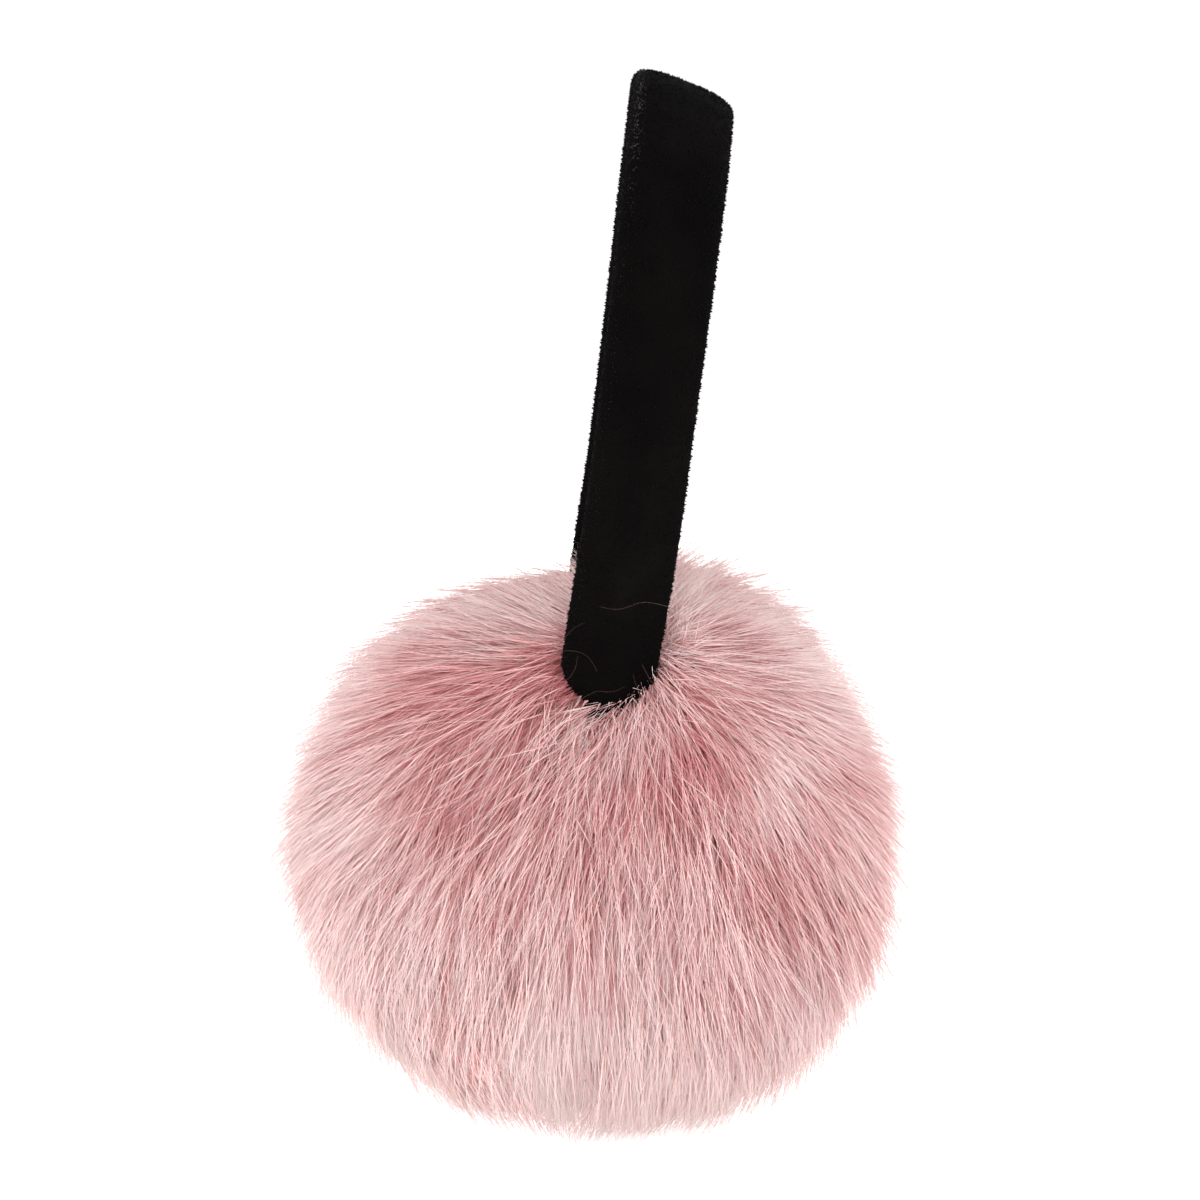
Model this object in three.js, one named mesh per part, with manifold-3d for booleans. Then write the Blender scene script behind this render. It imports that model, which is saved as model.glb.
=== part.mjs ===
// Fur earmuffs standing on their two cups: a padded velvet headband over two round fur cups.
// Millimetres, +Z up. X runs from ear to ear and the wearer faces -Y.
import * as THREE from "three";
import { LoftGeometry } from "three/addons/geometries/LoftGeometry.js";
import { mergeVertices } from "three/addons/utils/BufferGeometryUtils.js";
import Module from "manifold-3d";

// Fur cups
const CUP_SPACING = 104; // between the centres of the two cups
const CUP_WIDTH = 132; // front to back, to the tips of the fur
const CUP_HEIGHT = 120; // as the fur stands free of the floor
const CUP_OUTER_DEPTH = 42; // fur away from the ear
const CUP_INNER_DEPTH = 28; // fur toward the ear
const FUR_PRESSED = 2.5; // how far the fur is pressed flat where it rests
const TIP_DEPTH = 6; // from the tips of the fur in to its closed mass
const REST_EDGE = 41; // degrees from straight down, where that depth starts to close up
const REST_CORE = 14; // degrees from straight down, where the mass is full to the tips
const ROUNDNESS = 2.3; // 2 gives an ellipsoid, more a fuller shape

// Fur locks
const LOCK_COUNT = 76; // spread over one cup
const LOCK_LENGTH = 32;
const LOCK_WIDTH = 19;
const LOCK_RIDGE = 5; // how high the middle of a lock stands
const PARTING_HEIGHT = 62; // above the cup centre, where the fur parts
const PARTING_BACK = 16; // behind the cup centre
const REST_CLEAR = 3; // the locks end this far above the floor
// From root to tip: along as a share of the length, width and ridge of LOCK_WIDTH and LOCK_RIDGE,
// depth of TIP_DEPTH, in from the tips of the fur.
const LOCK_SECTIONS = [
  { along: 0, width: 0.5, ridge: 0.4, depth: 1.3 },
  { along: 0.55, width: 1, ridge: 1, depth: 0.65 },
  { along: 1, width: 0.06, ridge: 0.06, depth: 0.02 },
];

// Headband
const BAND_WIDTH = 21.4;
const BAND_THICKNESS = 8;
const BAND_FULLNESS = 2.6; // 2 gives an oval section, more a boxier one
const ARCH_WIDTH = 160; // between the two sides of the band's middle line
const ARCH_HEIGHT = 158; // of the middle line above the cup centres
const ARCH_SIDE_HEIGHT = 82; // above the cup centres, where the arch is widest
const BAND_LEAN = 7.3; // degrees, back over the cups
const BAND_SETBACK = 1.1; // in front of the cup centres, at their height
const BAND_BANK = 15; // degrees, the back edge lower than the front one at the top
const LEG_BANK = 22; // degrees, the same above the bend of the legs
const FOOT_BANK = 2; // degrees, the same at the feet

// Feet of the headband, and the stems that hold them in the fur
const FOOT_OFFSET = 25; // from the cup centre, away from the ear
const FOOT_HEIGHT = 35; // above the cup centre
const FOOT_ROUNDING = 8.6; // the length over which the foot narrows
const FOOT_SHARPNESS = 1.7; // 2 gives a half oval, less a more pointed foot
const FOOT_WIDTH = 19.8; // of the leg just above the foot
const FOOT_FORWARD = 1.1; // how far the leg bends forward down to the foot
const LEG_BEND = 45; // the length over which the leg narrows and bends forward
const FOOT_WINDOW = 24; // how deep the fur is parted in front of the foot
const STEM_LENGTH = 24; // down into the fur
const STEM_WIDTH = 8;
const STEM_THICKNESS = 5;
const STEM_INSET = 9; // how much nearer the ear the stem ends
const CLEARANCE = 0.3; // between the headband and the fur

// Facets
const CUP_AROUND = 22;
const CUP_RINGS = 12;
const BAND_SIDES = 16;
const BAND_STEP = 12; // between two sections of the band
const FOOT_SECTIONS = [0.08, 0.25, 0.5, 0.75]; // along the foot, as shares of FOOT_ROUNDING
const LEG_SECTIONS = 5; // of the band past its foot, that may touch the fur

const FLOOR_DROP = CUP_HEIGHT / 2 - FUR_PRESSED; // from the cup centres down to the floor
const { clamp, degToRad, lerp, smoothstep } = THREE.MathUtils;

const wasm = await Module();
wasm.setup();

function solidOf(geometry) {
  const bare = new THREE.BufferGeometry();
  bare.setAttribute("position", geometry.getAttribute("position"));
  bare.setIndex(geometry.index);
  const merged = mergeVertices(bare, 1e-3);
  return new wasm.Manifold(
    new wasm.Mesh({
      numProp: 3,
      vertProperties: merged.attributes.position.array,
      triVerts: new Uint32Array(merged.index.array),
    }),
  );
}

function geometryOf(solid) {
  const { vertProperties, triVerts } = solid.getMesh();
  const geometry = new THREE.BufferGeometry();
  geometry.setAttribute("position", new THREE.BufferAttribute(vertProperties, 3));
  geometry.setIndex(new THREE.BufferAttribute(triVerts, 1));
  geometry.computeVertexNormals();
  return geometry;
}

// How far the tips of the fur are from the cup centre in one direction, with +x away from the ear
function furReach(direction, inward = 0) {
  const depth = direction.x > 0 ? CUP_OUTER_DEPTH : CUP_INNER_DEPTH;
  const along = Math.abs(direction.x) / (depth - inward);
  const across = Math.hypot(
    direction.y / (CUP_WIDTH / 2 - inward),
    direction.z / (CUP_HEIGHT / 2 - inward),
  );
  return (along ** ROUNDNESS + across ** ROUNDNESS) ** (-1 / ROUNDNESS);
}

// The same for the closed mass under the tips, which is full to the tips where the fur rests
function massReach(direction) {
  const [edge, core] = [REST_EDGE, REST_CORE].map((angle) => Math.cos(degToRad(angle)));
  const resting = smoothstep(-direction.z, edge, core);
  return furReach(direction, TIP_DEPTH * (1 - resting));
}

function furNormal({ x, y, z }) {
  const depth = x > 0 ? CUP_OUTER_DEPTH : CUP_INNER_DEPTH;
  const across = Math.hypot(y / (CUP_WIDTH / 2), z / (CUP_HEIGHT / 2)) ** (ROUNDNESS - 2);
  return new THREE.Vector3(
    (Math.sign(x) * Math.abs(x / depth) ** (ROUNDNESS - 1)) / depth,
    (across * y) / (CUP_WIDTH / 2) ** 2,
    (across * z) / (CUP_HEIGHT / 2) ** 2,
  ).normalize();
}

// Directions spread evenly over a sphere, along a spiral about the x axis
function spreadDirections(count) {
  const turn = Math.PI * (3 - Math.sqrt(5));
  return Array.from({ length: count }, (_, i) => {
    const x = 1 - (2 * (i + 0.5)) / count;
    const ring = Math.sqrt(1 - x * x);
    return new THREE.Vector3(x, ring * Math.cos(i * turn), ring * Math.sin(i * turn));
  });
}

// One lock, a loft of ridged sections that follows the curve of the fur. The fur is combed away
// from the parting, and the roots near it are short.
function lock(tipDirection) {
  const normal = furNormal(tipDirection);
  const reach = furReach(tipDirection);
  const tip = tipDirection.clone().multiplyScalar(reach);
  const comb = new THREE.Vector3(0, tip.y - PARTING_BACK, tip.z - PARTING_HEIGHT);
  comb.addScaledVector(normal, -comb.dot(normal));
  const length = clamp(comb.length(), LOCK_LENGTH / 2, LOCK_LENGTH);
  const axis = tipDirection.clone().cross(comb).normalize();
  const sections = LOCK_SECTIONS.map(({ along, width, ridge, depth }) => {
    const turned = ((along - 1) * length) / reach;
    const outward = tipDirection.clone().applyAxisAngle(axis, turned);
    const middle = outward.clone().multiplyScalar(furReach(outward, depth * TIP_DEPTH));
    const aside = axis.clone().multiplyScalar((width * LOCK_WIDTH) / 2);
    const up = furNormal(outward).multiplyScalar(ridge * LOCK_RIDGE);
    return [up, aside.clone().negate(), aside].map((corner) => corner.add(middle));
  });
  return solidOf(new LoftGeometry(sections, { capStart: true, capEnd: true }));
}

// The right half of the middle line, in the plane of the arch: across from the middle, and up
function halfArch() {
  const round = 0.5523; // the handles of a Bezier curve that draws a quarter of a circle
  const point = (across, up) => new THREE.Vector2(across, up);
  const footX = CUP_SPACING / 2 + FOOT_OFFSET;
  const sideX = ARCH_WIDTH / 2;
  const crown = ARCH_HEIGHT - ARCH_SIDE_HEIGHT;
  const rise = (ARCH_SIDE_HEIGHT - FOOT_HEIGHT) / 3;
  const foot = point(footX, FOOT_HEIGHT);
  const side = point(sideX, ARCH_SIDE_HEIGHT);
  const stem = new THREE.QuadraticBezierCurve(
    point(footX - STEM_INSET, FOOT_HEIGHT - STEM_LENGTH),
    point(footX, FOOT_HEIGHT - STEM_LENGTH / 2),
    foot,
  );
  const leg = new THREE.CubicBezierCurve(
    foot,
    point(footX, FOOT_HEIGHT + rise),
    point(sideX, ARCH_SIDE_HEIGHT - rise),
    side,
  );
  const top = new THREE.CubicBezierCurve(
    side,
    point(sideX, ARCH_SIDE_HEIGHT + crown * round),
    point(sideX * round, ARCH_HEIGHT),
    point(0, ARCH_HEIGHT),
  );
  const path = new THREE.CurvePath();
  [stem, leg, top].forEach((curve) => path.add(curve));
  return { path, stemLength: stem.getLength() };
}

// The band's width and thickness this far past its foot, or down the stem if negative
function bandSize(distance) {
  const left = 1 - clamp(distance / FOOT_ROUNDING, 0, 1);
  const share = (1 - left ** FOOT_SHARPNESS) ** (1 / FOOT_SHARPNESS);
  const width = lerp(FOOT_WIDTH, BAND_WIDTH, smoothstep(distance, 0, LEG_BEND));
  return {
    width: Math.max(STEM_WIDTH, width * share),
    thickness: Math.max(STEM_THICKNESS, BAND_THICKNESS * Math.sqrt(share)),
  };
}

// How far the band is turned about its own length, in degrees, this far past its foot
function bandBank(distance, bodyLength) {
  const above = lerp(LEG_BANK, BAND_BANK, smoothstep(distance, LEG_BEND, bodyLength));
  return lerp(FOOT_BANK, above, smoothstep(distance, 0, LEG_BEND));
}

// The right half of the band as sections from the stem to the top, grown by a margin all round.
// The outer half of each section past the foot can be drawn out, to part the fur in front of it.
function bandSections(margin = 0, drawnOut = 0) {
  const { path, stemLength } = halfArch();
  const length = path.getLength();
  const bodyLength = length - stemLength - FOOT_ROUNDING;
  const steps = Math.ceil(bodyLength / BAND_STEP);
  const distances = [
    -stemLength,
    -stemLength / 2,
    -CLEARANCE,
    ...FOOT_SECTIONS.map((share) => share * FOOT_ROUNDING),
    ...Array.from({ length: steps + 1 }, (_, i) => FOOT_ROUNDING + (i * bodyLength) / steps),
  ];
  const back = new THREE.Vector3(0, 1, 0);
  return distances.map((distance, row) => {
    const share = clamp((distance + stemLength) / length, 0, 1);
    const flat = path.getPointAt(share);
    const flatAlong = path.getTangentAt(share);
    const forward = FOOT_FORWARD * (1 - smoothstep(distance, 0, LEG_BEND));
    const middle = new THREE.Vector3(flat.x, -forward, flat.y);
    const along = new THREE.Vector3(flatAlong.x, 0, flatAlong.y);
    if (row === 0) middle.addScaledVector(along, -margin);
    const bank = degToRad(bandBank(distance, bodyLength));
    const out = back.clone().cross(along);
    const outward = out.clone().multiplyScalar(Math.cos(bank)).addScaledVector(back, Math.sin(bank));
    const across = back.clone().multiplyScalar(Math.cos(bank)).addScaledVector(out, -Math.sin(bank));
    const { width, thickness } = bandSize(distance);
    const outer = distance > 0 ? drawnOut : 0;
    return Array.from({ length: BAND_SIDES }, (_, i) => {
      const angle = (2 * Math.PI * i) / BAND_SIDES;
      const rounded = (value) => Math.sign(value) * Math.abs(value) ** (2 / BAND_FULLNESS);
      const up = rounded(Math.cos(angle));
      const aside = rounded(Math.sin(angle));
      return middle
        .clone()
        .addScaledVector(outward, up * (thickness / 2 + margin + (up > 0 ? outer : 0)))
        .addScaledVector(across, aside * (width / 2 + margin));
    });
  });
}

// Lofts band sections and leans the band back over the cups
function leantLoft(sections) {
  const geometry = new LoftGeometry(sections, { capStart: true, capEnd: true });
  geometry.rotateX(-degToRad(BAND_LEAN));
  return geometry.translate(0, -BAND_SETBACK, 0);
}

function headbandSolid() {
  const right = bandSections();
  const mirrored = ({ x, y, z }) => new THREE.Vector3(-x, y, z);
  const left = right.slice(0, -1).map((section) => section.map(mirrored));
  return solidOf(leantLoft([...right, ...left.reverse()]));
}

// The room that the foot and stem take in the right cup's fur, seen from the cup centre
function footRoom() {
  const sections = bandSections(CLEARANCE, FOOT_WINDOW);
  const footSections = 3 + FOOT_SECTIONS.length + LEG_SECTIONS;
  return solidOf(leantLoft(sections.slice(0, footSections)).translate(-CUP_SPACING / 2, 0, 0));
}

function furCupSolid() {
  const ball = new THREE.SphereGeometry(1, CUP_AROUND, CUP_RINGS).rotateZ(Math.PI / 2);
  const at = ball.getAttribute("position");
  const direction = new THREE.Vector3();
  for (let i = 0; i < at.count; i += 1) {
    direction.fromBufferAttribute(at, i).normalize();
    direction.multiplyScalar(massReach(direction));
    at.setXYZ(i, direction.x, direction.y, direction.z);
  }
  let fur = solidOf(ball);
  spreadDirections(LOCK_COUNT).forEach((outward) => {
    if (outward.z * furReach(outward) > REST_CLEAR - FLOOR_DROP) fur = fur.add(lock(outward));
  });
  const floor = new THREE.BoxGeometry(CUP_WIDTH * 2, CUP_WIDTH * 2, CUP_HEIGHT);
  floor.translate(0, 0, -FLOOR_DROP - CUP_HEIGHT / 2);
  const pieces = fur.subtract(solidOf(floor)).subtract(footRoom()).decompose();
  return pieces.reduce((most, piece) => (piece.volume() > most.volume() ? piece : most));
}

function furCup(name, geometry) {
  const fur = new THREE.MeshStandardMaterial({ color: 0xdba7a8, roughness: 0.95, metalness: 0 });
  const cup = new THREE.Mesh(geometry, fur);
  cup.name = name;
  cup.position.x = CUP_SPACING / 2;
  return cup;
}

function headband(geometry) {
  const velvet = new THREE.MeshStandardMaterial({ color: 0x0d0a0a, roughness: 0.9, metalness: 0 });
  const band = new THREE.Mesh(geometry, velvet);
  band.name = "headband";
  return band;
}

function buildEarmuffs() {
  const fur = geometryOf(furCupSolid());
  const rightSide = new THREE.Group();
  rightSide.scale.x = -1;
  rightSide.add(furCup("fur_cup_right", fur));
  const body = new THREE.Group();
  body.add(headband(geometryOf(headbandSolid())), furCup("fur_cup_left", fur), rightSide);
  const box = new THREE.Box3().setFromObject(body);
  body.position.set(0, -(box.min.y + box.max.y) / 2, FLOOR_DROP);
  return new THREE.Group().add(body);
}

export default buildEarmuffs();
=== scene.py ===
"""Fur earmuffs: long pink pile on two cups and a padded black velvet headband.

Every size is in metres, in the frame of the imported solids: +Z is up, X runs from ear to ear and
the wearer faces -Y.
"""

import logging
import math
from dataclasses import dataclass, field, replace
from enum import Enum
from typing import NamedTuple

import bmesh
import bpy
import numpy as np
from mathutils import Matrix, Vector


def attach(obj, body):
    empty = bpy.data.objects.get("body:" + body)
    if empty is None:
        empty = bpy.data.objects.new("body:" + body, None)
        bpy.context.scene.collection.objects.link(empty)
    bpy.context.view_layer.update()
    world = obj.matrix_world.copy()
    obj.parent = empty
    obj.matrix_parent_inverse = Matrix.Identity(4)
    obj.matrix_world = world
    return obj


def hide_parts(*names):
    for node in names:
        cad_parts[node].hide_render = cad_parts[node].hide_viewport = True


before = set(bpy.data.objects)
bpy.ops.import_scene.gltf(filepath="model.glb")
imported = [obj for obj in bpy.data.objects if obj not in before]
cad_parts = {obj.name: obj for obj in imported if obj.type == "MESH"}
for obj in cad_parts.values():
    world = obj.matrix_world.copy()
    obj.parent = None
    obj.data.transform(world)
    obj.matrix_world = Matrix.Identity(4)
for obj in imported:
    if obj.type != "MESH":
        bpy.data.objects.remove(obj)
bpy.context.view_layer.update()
MM = 0.001
STRAND_MAP = "OFBake"
CIRCLE_HANDLE = 0.5523  # a curve's handle for a quarter of a circle, as a share of its radius
log = logging.getLogger("earmuffs")


class Side(Enum):
    """The ear that a cup covers, as the sign of its place along X."""

    LEFT = 1
    RIGHT = -1


class Coat(Enum):
    """The layers of the fur, from the inside out."""

    UNDERFUR = "underfur"
    GUARD_HAIR = "guard_hair"
    WISPS = "wisps"


class Swell(NamedTuple):
    """A place round the cup where the fur stands higher or lower."""

    angle: float  # degrees up from the back, seen from the wearer's left
    width: float  # degrees
    height: float


class Patch(NamedTuple):
    """A round patch of paler or deeper fur on the cup's outer side."""

    back: float
    up: float
    radius: float
    paler: float


class Lamp(NamedTuple):
    """A square soft lamp that faces the camera's target."""

    name: str
    place: tuple[float, float, float]
    power: float
    size: float


def unit(vectors: np.ndarray) -> np.ndarray:
    """Scales vectors to length one.

    Args:
        vectors: Any array whose last axis is x, y and z.

    Returns:
        An array of the same shape.
    """
    return vectors / np.maximum(np.linalg.norm(vectors, axis=-1, keepdims=True), 1e-12)


def smooth_step(value: np.ndarray, low: float, high: float) -> np.ndarray:
    """Rises smoothly from 0 at low to 1 at high.

    Args:
        value: The numbers to map.
        low: Where the rise starts.
        high: Where it ends.

    Returns:
        Numbers from 0 to 1.
    """
    share = np.clip((value - low) / (high - low), 0.0, 1.0)
    return share * share * (3.0 - 2.0 * share)


def way_along(line: np.ndarray) -> np.ndarray:
    """Measures how far along a line each of its points lies, from 0 at the first."""
    return np.concatenate([[0.0], np.cumsum(np.linalg.norm(np.diff(line, axis=0), axis=1))])


def turn_about(vectors: np.ndarray, axes: np.ndarray, angles: np.ndarray) -> np.ndarray:
    """Turns each vector about its own axis.

    Args:
        vectors: Rows of vectors at right angles to their axes.
        axes: Rows of unit axes.
        angles: One angle for each row, in radians.

    Returns:
        The turned vectors.
    """
    cosine = np.cos(angles)[:, None]
    sine = np.sin(angles)[:, None]
    return vectors * cosine + np.cross(axes, vectors) * sine


def add_object(name: str, mesh: bpy.types.Mesh) -> bpy.types.Object:
    """Puts a mesh in the scene as a piece that rides on the one body.

    Args:
        name: The piece's name.
        mesh: Its mesh, in the frame's coordinates.

    Returns:
        The new object.
    """
    piece = bpy.data.objects.new(name, mesh)
    bpy.context.scene.collection.objects.link(piece)
    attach(piece, "root")
    return piece


@dataclass(frozen=True)
class StrandFinish:
    """Hair whose colour runs from root to tip and from deep to pale tones.

    Attributes:
        name: The material's name.
        deep_root: The deepest tone at the root.
        deep_tip: The deepest tone at the tip.
        pale_root: The palest tone at the root.
        pale_tip: The palest tone at the tip.
        roughness: How matt a hair is.
        sheen: The weight of its soft edge light.
        gloss: The strength of its mirror light.
    """

    name: str
    deep_root: tuple[float, float, float]
    deep_tip: tuple[float, float, float]
    pale_root: tuple[float, float, float]
    pale_tip: tuple[float, float, float]
    roughness: float = 0.8
    sheen: float = 0.0
    gloss: float = 0.0

    def build(self) -> bpy.types.Material:
        """Makes the material, which reads the strands' own map: root to tip, then tone."""
        material = bpy.data.materials.new(self.name)
        material.use_nodes = True
        nodes = material.node_tree.nodes
        links = material.node_tree.links
        shader = nodes["Principled BSDF"]
        shader.inputs["Roughness"].default_value = self.roughness
        shader.inputs["Sheen Weight"].default_value = self.sheen
        shader.inputs["Sheen Roughness"].default_value = 0.5
        shader.inputs["Specular IOR Level"].default_value = self.gloss
        place = nodes.new("ShaderNodeUVMap")
        place.uv_map = STRAND_MAP
        parts = nodes.new("ShaderNodeSeparateXYZ")
        links.new(place.outputs["UV"], parts.inputs["Vector"])
        tones = nodes.new("ShaderNodeMix")
        tones.data_type = "RGBA"
        for socket, root, tip in (
            (6, self.deep_root, self.deep_tip),
            (7, self.pale_root, self.pale_tip),
        ):
            ramp = nodes.new("ShaderNodeValToRGB")
            ramp.color_ramp.elements[0].color = (*root, 1.0)
            ramp.color_ramp.elements[1].color = (*tip, 1.0)
            links.new(parts.outputs["X"], ramp.inputs["Fac"])
            links.new(ramp.outputs["Color"], tones.inputs[socket])
        links.new(parts.outputs["Y"], tones.inputs[0])
        links.new(tones.outputs[2], shader.inputs["Base Color"])
        return material


@dataclass(frozen=True)
class ClothFinish:
    """Short pile or matted fur: two colours mottled together, with a fine bump.

    Attributes:
        name: The material's name.
        dark: The darker colour.
        light: The lighter colour.
        mottle_scale: How fine the mottling is.
        grain_scale: How fine the bump is.
        bump: The strength of the bump.
        bump_depth: How deep the bump is.
        roughness: How matt the cloth is.
        sheen: The weight of its soft edge light.
        gloss: The strength of its mirror light.
    """

    name: str
    dark: tuple[float, float, float]
    light: tuple[float, float, float]
    mottle_scale: float
    grain_scale: float
    bump: float
    bump_depth: float
    roughness: float
    sheen: float
    gloss: float

    def build(self) -> bpy.types.Material:
        """Makes the material from object coordinates."""
        material = bpy.data.materials.new(self.name)
        material.use_nodes = True
        nodes = material.node_tree.nodes
        links = material.node_tree.links
        shader = nodes["Principled BSDF"]
        shader.inputs["Roughness"].default_value = self.roughness
        shader.inputs["Sheen Weight"].default_value = self.sheen
        shader.inputs["Sheen Roughness"].default_value = 0.4
        shader.inputs["Specular IOR Level"].default_value = self.gloss
        place = nodes.new("ShaderNodeTexCoord")
        mottle = nodes.new("ShaderNodeTexNoise")
        mottle.inputs["Scale"].default_value = self.mottle_scale
        mottle.inputs["Detail"].default_value = 5.0
        grain = nodes.new("ShaderNodeTexNoise")
        grain.inputs["Scale"].default_value = self.grain_scale
        grain.inputs["Detail"].default_value = 3.0
        for noise in (mottle, grain):
            links.new(place.outputs["Object"], noise.inputs["Vector"])
        ramp = nodes.new("ShaderNodeValToRGB")
        ramp.color_ramp.elements[0].position = 0.35
        ramp.color_ramp.elements[0].color = (*self.dark, 1.0)
        ramp.color_ramp.elements[1].position = 0.7
        ramp.color_ramp.elements[1].color = (*self.light, 1.0)
        links.new(mottle.outputs["Fac"], ramp.inputs["Fac"])
        links.new(ramp.outputs["Color"], shader.inputs["Base Color"])
        bump = nodes.new("ShaderNodeBump")
        bump.inputs["Strength"].default_value = self.bump
        bump.inputs["Distance"].default_value = self.bump_depth
        links.new(grain.outputs["Fac"], bump.inputs["Height"])
        links.new(bump.outputs["Normal"], shader.inputs["Normal"])
        return material


@dataclass(frozen=True)
class Strands:
    """Many tapered hairs, as rows of points from root to tip, with their widths and tones.

    Attributes:
        points: The points of each hair.
        widths: Each hair's width at the root.
        tones: Each hair's tone, 0 the deepest and 1 the palest.
        sides: The sides of a hair.
        narrowing: How much narrower the last ring before the tip is than the root.
        along_map: Where the root starts and how far a hair runs on the map's U.
        across_map: Where the deepest tone starts and how far the tones run on its V.
        corner_shift: How far a ring's corners lie apart on V.
    """

    points: np.ndarray
    widths: np.ndarray
    tones: np.ndarray
    sides: int = 3
    narrowing: float = 0.35
    along_map: tuple[float, float] = (0.03, 0.94)
    across_map: tuple[float, float] = (0.04, 0.92)
    corner_shift: tuple[float, ...] = (-0.02, 0.02, 0.0)

    def kept(self, keep: np.ndarray) -> "Strands":
        """Keeps the hairs that a mask names."""
        return Strands(self.points[keep], self.widths[keep], self.tones[keep])

    def mesh(self, name: str, finish: bpy.types.Material) -> bpy.types.Mesh:
        """Joins the hairs into one mesh of closed three-sided spikes.

        Args:
            name: The mesh's name.
            finish: The hairs' material.

        Returns:
            The mesh, with a map of root to tip along U and tone along V.
        """
        count, rows, _ = self.points.shape
        sides = self.sides
        rings = rows - 1
        along = unit(np.gradient(self.points, axis=1))
        guide = np.where(np.abs(along[..., 2:]) < 0.9, [[[0.0, 0.0, 1.0]]], [[[1.0, 0.0, 0.0]]])
        aside = unit(np.cross(along, guide))
        other = np.cross(along, aside)
        angles = np.arange(sides) * 2 * math.pi / sides
        taper = 0.5 * (1.0 - self.narrowing * np.arange(rings) / max(rings - 1, 1))
        radius = self.widths[:, None] * taper[None, :]
        spokes = (
            np.cos(angles)[None, None, :, None] * aside[:, :rings, None, :]
            + np.sin(angles)[None, None, :, None] * other[:, :rings, None, :]
        )
        around = self.points[:, :rings, None, :] + radius[:, :, None, None] * spokes
        places = np.concatenate(
            [around.reshape(count, rings * sides, 3), self.points[:, -1:, :]], axis=1
        )
        faces = [[2, 1, 0]]
        for ring in range(rings - 1):
            low = ring * sides
            for side in range(sides):
                turn = (side + 1) % sides
                faces.append([low + side, low + turn, low + turn + sides, low + side + sides])
        last = (rings - 1) * sides
        faces += [[last + side, last + (side + 1) % sides, rings * sides] for side in range(sides)]
        corners = np.array([corner for face in faces for corner in face])
        starts = np.cumsum([0] + [len(face) for face in faces[:-1]])
        per_hair = places.shape[1]
        loops = (corners[None, :] + per_hair * np.arange(count)[:, None]).ravel()
        loop_starts = (starts[None, :] + len(corners) * np.arange(count)[:, None]).ravel()
        mesh = bpy.data.meshes.new(name)
        mesh.vertices.add(count * per_hair)
        mesh.vertices.foreach_set("co", places.astype(np.float32).ravel())
        mesh.loops.add(len(loops))
        mesh.loops.foreach_set("vertex_index", loops.astype(np.int32))
        mesh.polygons.add(len(loop_starts))
        mesh.polygons.foreach_set("loop_start", loop_starts.astype(np.int32))
        mesh.polygons.foreach_set("use_smooth", np.ones(len(loop_starts), bool))
        mesh.update(calc_edges=True)
        span = np.repeat(np.arange(rings) / rings, sides)
        root, reach = self.along_map
        u = np.concatenate([span, [1.0]]) * reach + root
        spread = np.concatenate([np.tile(self.corner_shift, rings), [0.0]])
        deepest, tones = self.across_map
        v = np.clip(self.tones[:, None] * tones + deepest + spread[None, :], 0.0, 1.0)
        flat = np.stack([np.broadcast_to(u, v.shape), v], axis=-1).reshape(-1, 2)
        layer = mesh.uv_layers.new(name=STRAND_MAP)
        layer.data.foreach_set("uv", flat[loops].astype(np.float32).ravel())
        mesh.materials.append(finish)
        return mesh


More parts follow.
